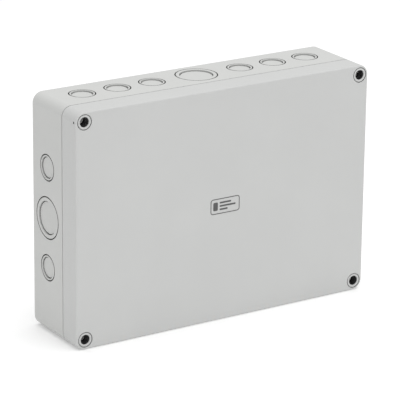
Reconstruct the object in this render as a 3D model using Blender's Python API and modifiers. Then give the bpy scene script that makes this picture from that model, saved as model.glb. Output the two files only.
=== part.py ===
"""Wall-mounting electrical junction box: a moulded base with knock-out cable entries, a screwed lid
with a foam gasket, and a row of five screw terminals on a rail.

The box is designed lying on its back: X along its width, Y up its height, Z out from the wall.
A parent empty then stands it upright, so that the lid faces -Y and the base of the box is at Z = 0.
"""

import math

import bmesh
import bpy
from mathutils import Matrix

MM = 0.001

# Housing
BOX_WIDTH = 254 * MM
BOX_HEIGHT = 180 * MM
BOX_DEPTH = 63 * MM
LID_DEPTH = 20 * MM
CORNER_RADIUS = 8 * MM
WALL = 3 * MM
BACK_WALL = 3 * MM
LID_FRONT = 2.8 * MM
BACK_EDGE_RADIUS = 1.2 * MM
FRONT_EDGE_RADIUS = 1.3 * MM
PART_GAP = 0.3 * MM  # between pieces that touch
CUT_OVER = 3 * MM  # how far a cutter runs past the face it opens

# Corner columns, outside the sealed space
COLUMN_WALL = 3.6 * MM  # plastic between a wall-fixing hole and the sealed space
COLUMN_CORNER_RADIUS = 5 * MM
COLUMN_FILLET = 3 * MM
SCREW_INSET = 7.5 * MM
WALL_HOLE_STEP = 11.5 * MM  # from a lid screw down the column to the wall-fixing hole
WALL_HOLE_RADIUS = 2.25 * MM
WALL_HEAD_RADIUS = 3.9 * MM
WALL_HEAD_SEAT = 5 * MM  # plastic left under the head of a wall screw

# Seal between lid and base
TONGUE_THICKNESS = 1.4 * MM
TONGUE_HEIGHT = 5 * MM
GASKET_HEIGHT = 2 * MM
RIB_THICKNESS = 1.4 * MM
RIB_DEPTH = 5 * MM

# Knock-outs, each with an inner and an outer ring
SMALL_KNOCKOUT = (10.25 * MM, 8.25 * MM)
LARGE_KNOCKOUT = (16.25 * MM, 12.75 * MM)
KNOCKOUT_GROOVE = 0.6 * MM
KNOCKOUT_WEB = 0.9 * MM
KNOCKOUT_PITCH = 29.5 * MM
LARGE_TO_SMALL = 38.5 * MM

# Lid screws
SCREW_HEAD_RADIUS = 3.4 * MM
SCREW_HEAD_HEIGHT = 3 * MM
SCREW_HEAD_SINK = 7 * MM
SCREW_SHANK_RADIUS = 2 * MM
SCREW_THREAD_LENGTH = 6 * MM  # in the base column, and so the travel that frees the lid
SCREW_TIP = 1.5 * MM
WELL_CLEARANCE = 0.35 * MM
SHANK_CLEARANCE = 0.4 * MM
SEAT_THICKNESS = 1.8 * MM
COLLAR_RADIUS = 5.9 * MM
COLLAR_GROOVE = 0.5 * MM
COLLAR_GROOVE_DEPTH = 0.8 * MM
CROSS_LENGTH = 4.4 * MM
CROSS_WIDTH = 1 * MM
CROSS_DEPTH = 1.8 * MM
RETAINER_THICKNESS = 1 * MM
RETAINER_WALL = 0.8 * MM
SEAL_HOLE_RADIUS = 0.9 * MM
SEAL_HOLE_DEPTH = 2.8 * MM  # of its axis behind the lid's front

# Mounting bosses on the back wall
BOSS_RADIUS = 4 * MM
BOSS_HEIGHT = 4 * MM
BOSS_HOLE_RADIUS = 2.2 * MM
BOSS_HOLE_FLOOR = 1.2 * MM
PLATE_BOSS_INSET_X = 37 * MM
PLATE_BOSS_INSET_Y = 30 * MM

# Rail, a 35 mm top-hat section
RAIL_END_SPACE = 16 * MM  # from each end of the rail to the side wall
RAIL_WIDTH = 35 * MM
RAIL_INNER = 27 * MM
RAIL_HEIGHT = 7.5 * MM
RAIL_SHEET = 1 * MM
RAIL_SLOT_PITCH = 25 * MM
RAIL_SLOT_LENGTH = 15 * MM
RAIL_SLOT_RADIUS = 2.6 * MM
RAIL_SCREW_HEAD_RADIUS = 3.6 * MM
RAIL_SCREW_HEAD_HEIGHT = 2.4 * MM
RAIL_SCREW_RADIUS = 1.8 * MM

# Terminals, measured from the rail's back plane
TERMINAL_NAMES = ("line_1", "line_2", "line_3", "neutral", "earth")
TERMINAL_THICKNESS = 10 * MM
TERMINAL_GAP = 0.4 * MM
TERMINAL_HALF_LENGTH = 29.5 * MM
TERMINAL_TOP = 44 * MM
TERMINAL_RIDGE = 2 * MM
TERMINAL_SIDE_WALL = 1.6 * MM
FOOT_THICKNESS = 2.9 * MM
FOOT_GRIP = 1.5 * MM
FOOT_TOE = 2.6 * MM
CLAMP_Y = 13.5 * MM
CAGE_PLAY = 0.7 * MM  # between a cage and the open side of its terminal
CAGE_LENGTH = 8 * MM
CAGE_HEIGHT = 10 * MM
CAGE_FLOOR = 20.5 * MM
CAGE_SIDE = 1.2 * MM
CAGE_BOTTOM = 1.5 * MM
CAGE_TOP = 1.8 * MM
CAGE_TRAVEL = 3.5 * MM
BAR_THICKNESS = 1.2 * MM
BAR_BELOW_CAGE_TOP = 0.5 * MM
CLAMP_SCREW_RADIUS = 1.9 * MM
CLAMP_HEAD_RADIUS = 2.7 * MM
CLAMP_HEAD_HEIGHT = 2.5 * MM
CLAMP_SLOT_WIDTH = 0.9 * MM
CLAMP_SLOT_DEPTH = 1.3 * MM
ENTRY_RADIUS = 2.6 * MM
END_PLATE_THICKNESS = 1.5 * MM
BRACKET_THICKNESS = 8 * MM
BRACKET_TOP = 30 * MM
BRACKET_HALF_LENGTH = 22 * MM
BRACKET_SCREW_RADIUS = 1.5 * MM
BRACKET_HEAD_RADIUS = 2.6 * MM
MARKER_SIZE = (5 * MM, 7 * MM, 1 * MM)
EARTH_FOOT_SHEET = 1.2 * MM

# Facets
CORNER_STEPS = 6
FILLET_STEPS = 3
SMALL_RING_STEPS = 14
LARGE_RING_STEPS = 20
BORE_STEPS = 12
SCREW_STEPS = 14

# Places that follow from the sizes above
SEAM = BOX_DEPTH - LID_DEPTH
COLUMN_WIDTH = 2 * SCREW_INSET
COLUMN_HEIGHT = SCREW_INSET + WALL_HOLE_STEP + WALL_HEAD_RADIUS + COLUMN_WALL
TONGUE_TOP = SEAM + TONGUE_HEIGHT
GASKET_LOW = TONGUE_TOP + PART_GAP
CHANNEL_TOP = GASKET_LOW + GASKET_HEIGHT + PART_GAP
SCREW_HEAD_TOP = BOX_DEPTH - SCREW_HEAD_SINK
SCREW_HEAD_LOW = SCREW_HEAD_TOP - SCREW_HEAD_HEIGHT
SCREW_SEAT = SCREW_HEAD_LOW - PART_GAP
WELL_RADIUS = SCREW_HEAD_RADIUS + WELL_CLEARANCE
SHANK_HOLE_RADIUS = SCREW_SHANK_RADIUS + SHANK_CLEARANCE
RETAINER_HOLE_RADIUS = SCREW_SHANK_RADIUS + PART_GAP
RETAINER_RADIUS = RETAINER_HOLE_RADIUS + RETAINER_WALL
RETAINER_LOW = SEAM + 2 * PART_GAP
RAIL_BACK = BACK_WALL + BOSS_HEIGHT + PART_GAP
RAIL_LENGTH = BOX_WIDTH - 2 * (WALL + RAIL_END_SPACE)
RAIL_SLOT_COUNT = 2 * int((RAIL_LENGTH - RAIL_SLOT_LENGTH) / (2 * RAIL_SLOT_PITCH))
CAGE_WIDTH = TERMINAL_THICKNESS - TERMINAL_SIDE_WALL - PART_GAP - CAGE_PLAY
CAGE_CENTRE_X = (TERMINAL_SIDE_WALL + PART_GAP - CAGE_PLAY) / 2
BAR_WIDTH = CAGE_WIDTH - 2 * CAGE_SIDE - 2 * PART_GAP
BAR_TOP = CAGE_FLOOR + CAGE_HEIGHT - CAGE_TOP - BAR_BELOW_CAGE_TOP
BAR_LOW = BAR_TOP - BAR_THICKNESS
CAGE_ROOM_TOP = CAGE_FLOOR + CAGE_HEIGHT + CAGE_TRAVEL + PART_GAP
CLAMP_HEAD_LOW = CAGE_ROOM_TOP + 2 * MM + PART_GAP
FOOT_OUTER = RAIL_WIDTH / 2 + PART_GAP + FOOT_THICKNESS


# ---------------------------------------------------------------- outlines

def arc(centre_x, centre_y, radius, start, end, steps):
    """Points on an arc, with its angles in degrees."""
    points = []
    for step in range(steps + 1):
        angle = math.radians(start + (end - start) * step / steps)
        points.append((centre_x + radius * math.cos(angle), centre_y + radius * math.sin(angle)))
    return points


def circle(centre_x, centre_y, radius, steps):
    return arc(centre_x, centre_y, radius, 0, 360, steps)[:-1]


def rectangle(centre_x, centre_y, width, height):
    x, y = width / 2, height / 2
    return [(centre_x + sx * x, centre_y + sy * y) for sx, sy in ((1, 1), (-1, 1), (-1, -1), (1, -1))]


def four_way(quarter):
    """A closed outline from its points in the first quadrant, which run from the X side to the Y side."""
    left = [(-x, y) for x, y in reversed(quarter)]
    below = [(-x, -y) for x, y in quarter]
    right = [(x, -y) for x, y in reversed(quarter)]
    return quarter + left + below + right


def two_way(half):
    """A closed outline from its right half, which runs from the bottom of the axis to its top."""
    return half + [(-x, y) for x, y in reversed(half) if x > 0]


def box_outline():
    """The housing's outside, seen from the front."""
    x = BOX_WIDTH / 2 - CORNER_RADIUS
    y = BOX_HEIGHT / 2 - CORNER_RADIUS
    return four_way(arc(x, y, CORNER_RADIUS, 0, 90, CORNER_STEPS))


def sealed_outline(inset):
    """The sealed space, which passes inside the four corner columns, drawn in by an inset."""
    right = BOX_WIDTH / 2 - WALL - inset
    top = BOX_HEIGHT / 2 - WALL - inset
    column_x = BOX_WIDTH / 2 - COLUMN_WIDTH - inset
    column_y = BOX_HEIGHT / 2 - COLUMN_HEIGHT - inset
    fillet = COLUMN_FILLET - inset
    bulge = COLUMN_CORNER_RADIUS + inset
    quarter = arc(right - fillet, column_y - fillet, fillet, 0, 90, FILLET_STEPS)
    quarter += arc(column_x + bulge, column_y + bulge, bulge, 270, 180, FILLET_STEPS)
    quarter += arc(column_x - fillet, top - fillet, fillet, 0, 90, FILLET_STEPS)
    return four_way(quarter)


def cross_outline(length, width):
    """A cross recess: two equal slots at right angles."""
    half, side = length / 2, width / 2
    return four_way([(half, side), (side, side), (side, half)])


def slot_outline(centre_x, length, radius):
    reach = length / 2 - radius
    right = arc(centre_x + reach, 0, radius, -90, 90, FILLET_STEPS + 1)
    left = arc(centre_x - reach, 0, radius, 90, 270, FILLET_STEPS + 1)
    return right + left


# ---------------------------------------------------------------- meshes

def merge_caps(mesh):
    """Welds a plate's seams, and dissolves the edges that lie inside its two flat ends."""
    work = bmesh.new()
    work.from_mesh(mesh)
    bmesh.ops.remove_doubles(work, verts=work.verts, dist=0.001 * MM)
    caps = {face for face in work.faces if is_flat(face)}
    inner = [edge for edge in work.edges if caps.issuperset(edge.link_faces)]
    bmesh.ops.dissolve_edges(work, edges=inner, use_verts=False)
    bmesh.ops.recalc_face_normals(work, faces=work.faces)
    work.to_mesh(mesh)
    work.free()
    return mesh


def is_flat(face):
    """True for a face that lies at one height, even one without an area."""
    heights = [corner.co.z for corner in face.verts]
    return max(heights) - min(heights) < 0.001 * MM


def finished_mesh(obj):
    """The object's mesh with its modifiers applied. The object itself is removed."""
    graph = bpy.context.evaluated_depsgraph_get()
    mesh = bpy.data.meshes.new_from_object(obj.evaluated_get(graph))
    mesh.transform(obj.matrix_basis)
    mesh.name = obj.name
    source = obj.data
    bpy.data.objects.remove(obj)
    if isinstance(source, bpy.types.Curve):
        bpy.data.curves.remove(source)
    return mesh


def plate_mesh(name, outlines, low, high):
    """A flat plate along Z between two heights. An outline inside another one is a hole."""
    curve = bpy.data.curves.new(name, "CURVE")
    curve.dimensions = "2D"
    curve.fill_mode = "BOTH"
    curve.extrude = (high - low) / 2
    for points in outlines:
        spline = curve.splines.new("POLY")
        spline.points.add(len(points) - 1)
        for point, (x, y) in zip(spline.points, points):
            point.co = (x, y, 0, 1)
        spline.use_cyclic_u = True
    obj = bpy.data.objects.new(name, curve)
    obj.location.z = (low + high) / 2
    bpy.context.scene.collection.objects.link(obj)
    bpy.context.view_layer.update()
    return merge_caps(finished_mesh(obj))


def turned_mesh(name, profile):
    """A solid turned round Z. Its profile of (radius, height) runs from the top of the axis to its foot."""
    mesh = bpy.data.meshes.new(name)
    points = [(radius, 0, height) for radius, height in profile]
    mesh.from_pydata(points, [(i, i + 1) for i in range(len(points) - 1)], [])
    obj = bpy.data.objects.new(name, mesh)
    bpy.context.scene.collection.objects.link(obj)
    screw = obj.modifiers.new("turn", "SCREW")
    screw.steps = SCREW_STEPS
    screw.render_steps = SCREW_STEPS
    screw.use_merge_vertices = True
    screw.merge_threshold = 0.001 * MM
    bpy.context.view_layer.update()
    return finished_mesh(obj)


def rod_mesh(name, radius, low, high, steps=BORE_STEPS):
    mesh = bpy.data.meshes.new(name)
    work = bmesh.new()
    middle = Matrix.Translation((0, 0, (low + high) / 2))
    bmesh.ops.create_cone(work, cap_ends=True, segments=steps, radius1=radius, radius2=radius,
                          depth=high - low, matrix=middle)
    work.to_mesh(mesh)
    work.free()
    return mesh


def block_mesh(name, low, high):
    """A box between two corners."""
    size = [b - a for a, b in zip(low, high)]
    centre = [(a + b) / 2 for a, b in zip(low, high)]
    mesh = bpy.data.meshes.new(name)
    work = bmesh.new()
    bmesh.ops.create_cube(work, size=1, matrix=Matrix.Translation(centre) @ Matrix.Diagonal((*size, 1)))
    work.to_mesh(mesh)
    work.free()
    return mesh


def group_mesh(name, mesh, places):
    """Copies of one mesh at several places, as separate bodies of one mesh."""
    work = bmesh.new()
    for place in places:
        copy = mesh.copy()
        copy.transform(Matrix.Translation(place))
        work.from_mesh(copy)
        bpy.data.meshes.remove(copy)
    grouped = bpy.data.meshes.new(name)
    work.to_mesh(grouped)
    work.free()
    return grouped


def round_rim(mesh, height, radius, steps=2):
    """Rounds the sharp edges that lie at one height."""
    work = bmesh.new()
    work.from_mesh(mesh)
    rim = [edge for edge in work.edges
           if all(abs(v.co.z - height) < 0.01 * MM for v in edge.verts)
           and edge.calc_face_angle(0) > math.radians(45)]
    bmesh.ops.bevel(work, geom=rim, offset=radius, segments=steps, profile=0.5, affect="EDGES")
    work.to_mesh(mesh)
    work.free()
    return mesh


# ---------------------------------------------------------------- objects

def material(name, colour, roughness, metallic=0.0):
    made = bpy.data.materials.new(name)
    made.use_nodes = True
    shader = made.node_tree.nodes["Principled BSDF"]
    shader.inputs["Base Color"].default_value = (*colour, 1)
    shader.inputs["Roughness"].default_value = roughness
    shader.inputs["Metallic"].default_value = metallic
    made.diffuse_color = (*colour, 1)
    return made


def add_part(name, mesh, look, location=(0, 0, 0)):
    obj = bpy.data.objects.new(name, mesh)
    parts.objects.link(obj)
    obj.parent = stand
    obj.location = location
    mesh.materials.clear()
    mesh.materials.append(look)
    return obj


def boolean(target, operation, name, mesh, location=(0, 0, 0), rotation=(0, 0, 0)):
    """Cuts or joins a helper solid, which stays in the cutters' collection."""
    helper = bpy.data.objects.new(name, mesh)
    cutters.objects.link(helper)
    helper.parent = target.parent
    helper.location = location
    helper.rotation_euler = rotation
    helper.hide_render = True
    helper.display_type = "WIRE"
    modifier = target.modifiers.new(name, "BOOLEAN")
    modifier.operation = operation
    modifier.solver = "EXACT"
    modifier.object = helper
    return helper


def cut(target, name, mesh, location=(0, 0, 0), rotation=(0, 0, 0)):
    return boolean(target, "DIFFERENCE", name, mesh, location, rotation)


def join(target, name, mesh, location=(0, 0, 0), rotation=(0, 0, 0)):
    return boolean(target, "UNION", name, mesh, location, rotation)


def carved(name, mesh, removed):
    """A mesh with others cut from it, for a piece that is used several times."""
    obj = bpy.data.objects.new(name, mesh)
    bpy.context.scene.collection.objects.link(obj)
    helpers = [cut(obj, f"{name}_cut_{i}", other) for i, other in enumerate(removed)]
    bpy.context.view_layer.update()
    made = finished_mesh(obj)
    for helper in helpers:
        bpy.data.objects.remove(helper)
    return made


# ---------------------------------------------------------------- housing

def corner_places(inset_x, inset_y):
    """One place near each corner of the box, named as seen from the front."""
    x = BOX_WIDTH / 2 - inset_x
    y = BOX_HEIGHT / 2 - inset_y
    return {"top_left": (-x, y, 0), "top_right": (x, y, 0),
            "bottom_left": (-x, -y, 0), "bottom_right": (x, -y, 0)}


def knockout_rings(centre_x, centre_y, radii, steps):
    """The outer and inner grooves of one knock-out, each as a pair of circles."""
    rings = []
    for radius in radii:
        rings.append(circle(centre_x, centre_y, radius, steps))
        rings.append(circle(centre_x, centre_y, radius - KNOCKOUT_GROOVE, steps))
    return rings


def knockout_row(half_length):
    """Grooves of a row of knock-outs along X: a large one in the middle, and on both sides as many
    small ones as fit between the corner columns."""
    rings = knockout_rings(0, 0, LARGE_KNOCKOUT, LARGE_RING_STEPS)
    more = (half_length - SMALL_KNOCKOUT[0] - LARGE_TO_SMALL) / KNOCKOUT_PITCH
    for number in range(1 + int(more)):
        reach = LARGE_TO_SMALL + number * KNOCKOUT_PITCH
        for side in (-1, 1):
            rings += knockout_rings(side * reach, 0, SMALL_KNOCKOUT, SMALL_RING_STEPS)
    return rings


def cut_knockouts(base):
    """Grooves in all four side walls, which leave thin webs that a blow breaks."""
    depth = WALL - KNOCKOUT_WEB
    middle = SEAM / 2
    right, top = BOX_WIDTH / 2, BOX_HEIGHT / 2
    quarter_turn = math.pi / 2
    long_row = knockout_row(right - COLUMN_WIDTH)
    short_row = knockout_row(top - COLUMN_HEIGHT)
    walls = {
        "top": (long_row, (0, top, middle), (-quarter_turn, 0, 0)),
        "bottom": (long_row, (0, -top, middle), (quarter_turn, 0, 0)),
        "right": (short_row, (right, 0, middle), (quarter_turn, 0, quarter_turn)),
        "left": (short_row, (-right, 0, middle), (quarter_turn, 0, -quarter_turn)),
    }
    for wall, (rings, place, turn) in walls.items():
        name = f"knockouts_{wall}"
        cut(base, name, plate_mesh(name, rings, -depth, CUT_OVER), place, turn)


def rail_screw_places():
    reach = RAIL_SLOT_PITCH * (RAIL_SLOT_COUNT - 1) / 2
    return [(-reach, 0, 0), (reach, 0, 0)]


def boss_places():
    x = BOX_WIDTH / 2 - PLATE_BOSS_INSET_X
    y = BOX_HEIGHT / 2 - PLATE_BOSS_INSET_Y
    corners = [(sx * x, sy * y, 0) for sx in (-1, 1) for sy in (-1, 1)]
    return corners + rail_screw_places()


def make_base(look):
    mesh = plate_mesh("base_housing", [box_outline()], 0, SEAM)
    base = add_part("base_housing", round_rim(mesh, 0, BACK_EDGE_RADIUS), look)
    tongue = plate_mesh("tongue", [sealed_outline(-TONGUE_THICKNESS)], SEAM - CUT_OVER, TONGUE_TOP)
    join(base, "tongue", tongue)
    inside = plate_mesh("base_inside", [sealed_outline(0)], BACK_WALL, TONGUE_TOP + CUT_OVER)
    cut(base, "base_inside", inside)

    boss = rod_mesh("boss", BOSS_RADIUS, BACK_WALL / 2, BACK_WALL + BOSS_HEIGHT)
    join(base, "bosses", group_mesh("bosses", boss, boss_places()))
    pilot = rod_mesh("pilot", BOSS_HOLE_RADIUS, BOSS_HOLE_FLOOR, BACK_WALL + BOSS_HEIGHT + CUT_OVER)
    cut(base, "boss_holes", group_mesh("boss_holes", pilot, boss_places()))

    screw_foot = SEAM - SCREW_THREAD_LENGTH - SCREW_TIP
    screw_hole = rod_mesh("screw_hole", SHANK_HOLE_RADIUS, screw_foot, SEAM + CUT_OVER)
    screws = corner_places(SCREW_INSET, SCREW_INSET).values()
    cut(base, "screw_holes", group_mesh("screw_holes", screw_hole, screws))

    wall_hole = turned_mesh("wall_hole", [
        (0, SEAM + CUT_OVER), (WALL_HEAD_RADIUS, SEAM + CUT_OVER), (WALL_HEAD_RADIUS, WALL_HEAD_SEAT),
        (WALL_HOLE_RADIUS, WALL_HEAD_SEAT), (WALL_HOLE_RADIUS, -CUT_OVER), (0, -CUT_OVER)])
    wall_holes = corner_places(SCREW_INSET, SCREW_INSET + WALL_HOLE_STEP).values()
    cut(base, "wall_holes", group_mesh("wall_holes", wall_hole, wall_holes))
    cut_knockouts(base)


def make_lid(look):
    low = SEAM + PART_GAP
    below = SEAM - CUT_OVER
    mesh = plate_mesh("lid", [box_outline()], low, BOX_DEPTH)
    lid = add_part("lid", round_rim(mesh, BOX_DEPTH, FRONT_EDGE_RADIUS), look)

    channel = [sealed_outline(-TONGUE_THICKNESS - PART_GAP), sealed_outline(PART_GAP)]
    cut(lid, "gasket_channel", plate_mesh("gasket_channel", channel, below, CHANNEL_TOP))
    rib_low = CHANNEL_TOP - RIB_DEPTH
    rib_cut = [sealed_outline(-TONGUE_THICKNESS / 2)]
    cut(lid, "rib_edge", plate_mesh("rib_edge", rib_cut, below, rib_low))
    hollow = [sealed_outline(PART_GAP + RIB_THICKNESS)]
    cut(lid, "lid_inside", plate_mesh("lid_inside", hollow, below, BOX_DEPTH - LID_FRONT))

    web_low = SCREW_SEAT - SEAT_THICKNESS
    room = RETAINER_RADIUS + SHANK_CLEARANCE
    well = turned_mesh("screw_well", [
        (0, BOX_DEPTH + CUT_OVER), (WELL_RADIUS, BOX_DEPTH + CUT_OVER), (WELL_RADIUS, SCREW_SEAT),
        (SHANK_HOLE_RADIUS, SCREW_SEAT), (SHANK_HOLE_RADIUS, web_low),
        (room, web_low), (room, below), (0, below)])
    screws = corner_places(SCREW_INSET, SCREW_INSET)
    cut(lid, "screw_wells", group_mesh("screw_wells", well, screws.values()))

    rings = []
    for x, y, _ in screws.values():
        rings.append(circle(x, y, COLLAR_RADIUS, LARGE_RING_STEPS))
        rings.append(circle(x, y, COLLAR_RADIUS - COLLAR_GROOVE, LARGE_RING_STEPS))
    groove_low = BOX_DEPTH - COLLAR_GROOVE_DEPTH
    cut(lid, "collar_grooves", plate_mesh("collar_grooves", rings, groove_low, BOX_DEPTH + CUT_OVER))

    pocket = rod_mesh("pocket", WALL_HEAD_RADIUS, below, BOX_DEPTH - LID_FRONT)
    pockets = corner_places(SCREW_INSET, SCREW_INSET + WALL_HOLE_STEP).values()
    cut(lid, "column_pockets", group_mesh("column_pockets", pocket, pockets))

    for corner, side in (("top_left", -1), ("bottom_right", 1)):
        hole = rod_mesh("seal_hole", SEAL_HOLE_RADIUS, 0, SCREW_INSET + CUT_OVER, SCREW_STEPS // 2)
        x, y, _ = screws[corner]
        cut(lid, f"seal_hole_{corner}", hole, (x, y, BOX_DEPTH - SEAL_HOLE_DEPTH),
            (0, side * math.pi / 2, 0))


def make_gasket(look):
    ring = [sealed_outline(-TONGUE_THICKNESS), sealed_outline(0)]
    add_part("lid_gasket", plate_mesh("lid_gasket", ring, GASKET_LOW, GASKET_LOW + GASKET_HEIGHT), look)


def make_lid_screws(steel, nylon):
    """Four captive screws, each with the ring that keeps it in the lid."""
    tip = SEAM - SCREW_THREAD_LENGTH
    edge = SCREW_HEAD_HEIGHT / 6
    profile = [
        (0, SCREW_HEAD_TOP), (SCREW_HEAD_RADIUS - edge, SCREW_HEAD_TOP),
        (SCREW_HEAD_RADIUS, SCREW_HEAD_TOP - edge), (SCREW_HEAD_RADIUS, SCREW_HEAD_LOW),
        (SCREW_SHANK_RADIUS, SCREW_HEAD_LOW), (SCREW_SHANK_RADIUS, tip + SCREW_SHANK_RADIUS / 2),
        (SCREW_SHANK_RADIUS / 2, tip), (0, tip)]
    recess = plate_mesh("recess", [cross_outline(CROSS_LENGTH, CROSS_WIDTH)],
                        SCREW_HEAD_TOP - CROSS_DEPTH, SCREW_HEAD_TOP + CUT_OVER)
    screw = carved("lid_screw", turned_mesh("lid_screw", profile), [recess])
    ring = plate_mesh("retainer", [circle(0, 0, RETAINER_RADIUS, SCREW_STEPS),
                                   circle(0, 0, RETAINER_HOLE_RADIUS, SCREW_STEPS)],
                      RETAINER_LOW, RETAINER_LOW + RETAINER_THICKNESS)
    for corner, place in corner_places(SCREW_INSET, SCREW_INSET).items():
        add_part(f"lid_screw_{corner}", screw, steel, place)
        add_part(f"screw_retainer_{corner}", ring, nylon, place)


# ---------------------------------------------------------------- rail and terminals

def rail_outline():
    """The top-hat section, with the rail's width along X and its height along Y."""
    half, inner, sheet = RAIL_WIDTH / 2, RAIL_INNER / 2, RAIL_SHEET
    return two_way([(0, 0), (inner, 0), (inner, RAIL_HEIGHT - sheet), (half, RAIL_HEIGHT - sheet),
                    (half, RAIL_HEIGHT), (inner - sheet, RAIL_HEIGHT), (inner - sheet, sheet), (0, sheet)])


def terminal_outline(clips=True):
    """A terminal seen along the row: its length along X and its height over the rail along Y."""
    floor = RAIL_HEIGHT + PART_GAP
    flange_edge = RAIL_WIDTH / 2 + PART_GAP
    under_flange = RAIL_HEIGHT - RAIL_SHEET - PART_GAP
    length, top = TERMINAL_HALF_LENGTH, TERMINAL_TOP
    ridge = MARKER_SIZE[1] / 2 + 1 * MM
    lower = [(0, floor), (flange_edge, floor), (flange_edge, under_flange),
             (flange_edge - FOOT_GRIP, under_flange), (flange_edge - FOOT_GRIP, under_flange - FOOT_TOE),
             (FOOT_OUTER, under_flange - FOOT_TOE), (FOOT_OUTER, floor + FOOT_THICKNESS)]
    if not clips:
        floor += PART_GAP + EARTH_FOOT_SHEET
        lower = [(0, floor), (FOOT_OUTER, floor), (FOOT_OUTER, floor + FOOT_THICKNESS)]
    upper = [(length, CAGE_FLOOR - CAGE_BOTTOM), (length, top - length / 4), (length * 2 / 3, top),
             (ridge, top), (ridge, top + TERMINAL_RIDGE), (0, top + TERMINAL_RIDGE)]
    return two_way(lower + upper)


def across(mesh):
    """Turns a plate drawn in X and Y so that it spans Y and Z and its thickness runs along X."""
    mesh.transform(Matrix(((0, 0, 1, 0), (1, 0, 0, 0), (0, 1, 0, 0), (0, 0, 0, 1))))
    return mesh


def terminal_cuts():
    """Room for the metal parts, open on one side, the screw wells and the two wire entries."""
    half = TERMINAL_THICKNESS / 2
    room_low = CAGE_FLOOR - PART_GAP
    room_outer = CLAMP_Y + CAGE_LENGTH / 2 + PART_GAP
    room_inner = CLAMP_Y - CAGE_LENGTH / 2 - PART_GAP
    room = two_way([(0, BAR_LOW - PART_GAP), (room_inner, BAR_LOW - PART_GAP), (room_inner, room_low),
                    (room_outer, room_low), (room_outer, CAGE_ROOM_TOP), (room_inner, CAGE_ROOM_TOP),
                    (room_inner, BAR_TOP + PART_GAP), (0, BAR_TOP + PART_GAP)])
    cuts = [across(plate_mesh("metal_room", [room], TERMINAL_SIDE_WALL - half, half + CUT_OVER))]
    head = CLAMP_HEAD_RADIUS + WELL_CLEARANCE
    shank = CLAMP_SCREW_RADIUS + SHANK_CLEARANCE
    seat = CLAMP_HEAD_LOW - PART_GAP
    top = TERMINAL_TOP + CUT_OVER
    well = turned_mesh("clamp_well", [(0, top), (head, top), (head, seat), (shank, seat),
                                      (shank, CAGE_ROOM_TOP - 1 * MM), (0, CAGE_ROOM_TOP - 1 * MM)])
    cuts.append(group_mesh("clamp_wells", well, clamp_places()))
    entry = rod_mesh("entry", ENTRY_RADIUS, room_outer - 1 * MM, TERMINAL_HALF_LENGTH + CUT_OVER)
    entry_z = (CAGE_FLOOR + CAGE_BOTTOM + BAR_LOW) / 2
    for side in (-1, 1):
        turned = entry.copy()
        turned.transform(Matrix.Translation((CAGE_CENTRE_X, 0, entry_z))
                         @ Matrix.Rotation(-side * math.pi / 2, 4, "X"))
        cuts.append(turned)
    return cuts


def clamp_places():
    return [(CAGE_CENTRE_X, side * CLAMP_Y, 0) for side in (1, -1)]


def cage_mesh():
    """A rising clamp: a square frame with the screw through its top."""
    middle = CAGE_FLOOR + CAGE_HEIGHT / 2
    inner_low, inner_high = CAGE_FLOOR + CAGE_BOTTOM, CAGE_FLOOR + CAGE_HEIGHT - CAGE_TOP
    frame = [rectangle(0, middle, CAGE_WIDTH, CAGE_HEIGHT),
             rectangle(0, (inner_low + inner_high) / 2, CAGE_WIDTH - 2 * CAGE_SIDE, inner_high - inner_low)]
    mesh = plate_mesh("cage", frame, -CAGE_LENGTH / 2, CAGE_LENGTH / 2)
    mesh.transform(Matrix.Rotation(math.pi / 2, 4, "X"))
    hole = rod_mesh("cage_hole", CLAMP_SCREW_RADIUS + PART_GAP, inner_high - 1 * MM,
                    CAGE_FLOOR + CAGE_HEIGHT + CUT_OVER)
    return carved("cage", mesh, [hole])


def slotted_screw_mesh(name, head_radius, head_low, head_height, shank_radius, tip):
    top = head_low + head_height
    profile = [(0, top), (head_radius, top), (head_radius, head_low), (shank_radius, head_low),
               (shank_radius, tip), (0, tip)]
    slot = block_mesh("slot", (-CLAMP_SLOT_WIDTH / 2, -head_radius * 2, top - CLAMP_SLOT_DEPTH),
                      (CLAMP_SLOT_WIDTH / 2, head_radius * 2, top + CUT_OVER))
    return carved(name, turned_mesh(name, profile), [slot])


def terminal_x(number):
    """The middle of one terminal of the row, counted from the left."""
    return (number - (len(TERMINAL_NAMES) - 1) / 2) * (TERMINAL_THICKNESS + TERMINAL_GAP)


def make_rail(zinc):
    rail = across(plate_mesh("din_rail", [rail_outline()], -RAIL_LENGTH / 2, RAIL_LENGTH / 2))
    rail = add_part("din_rail", rail, zinc, (0, 0, RAIL_BACK))
    first = -RAIL_SLOT_PITCH * (RAIL_SLOT_COUNT - 1) / 2
    slots = [slot_outline(first + number * RAIL_SLOT_PITCH, RAIL_SLOT_LENGTH, RAIL_SLOT_RADIUS)
             for number in range(RAIL_SLOT_COUNT)]
    cut(rail, "rail_slots", plate_mesh("rail_slots", slots, RAIL_BACK - CUT_OVER, RAIL_BACK + CUT_OVER))

    head_low = RAIL_BACK + RAIL_SHEET + PART_GAP
    screw = slotted_screw_mesh("rail_screw", RAIL_SCREW_HEAD_RADIUS, head_low, RAIL_SCREW_HEAD_HEIGHT,
                               RAIL_SCREW_RADIUS, BOSS_HOLE_FLOOR + PART_GAP)
    for side, place in zip(("left", "right"), rail_screw_places()):
        add_part(f"rail_screw_{side}", screw, zinc, place)


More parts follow.
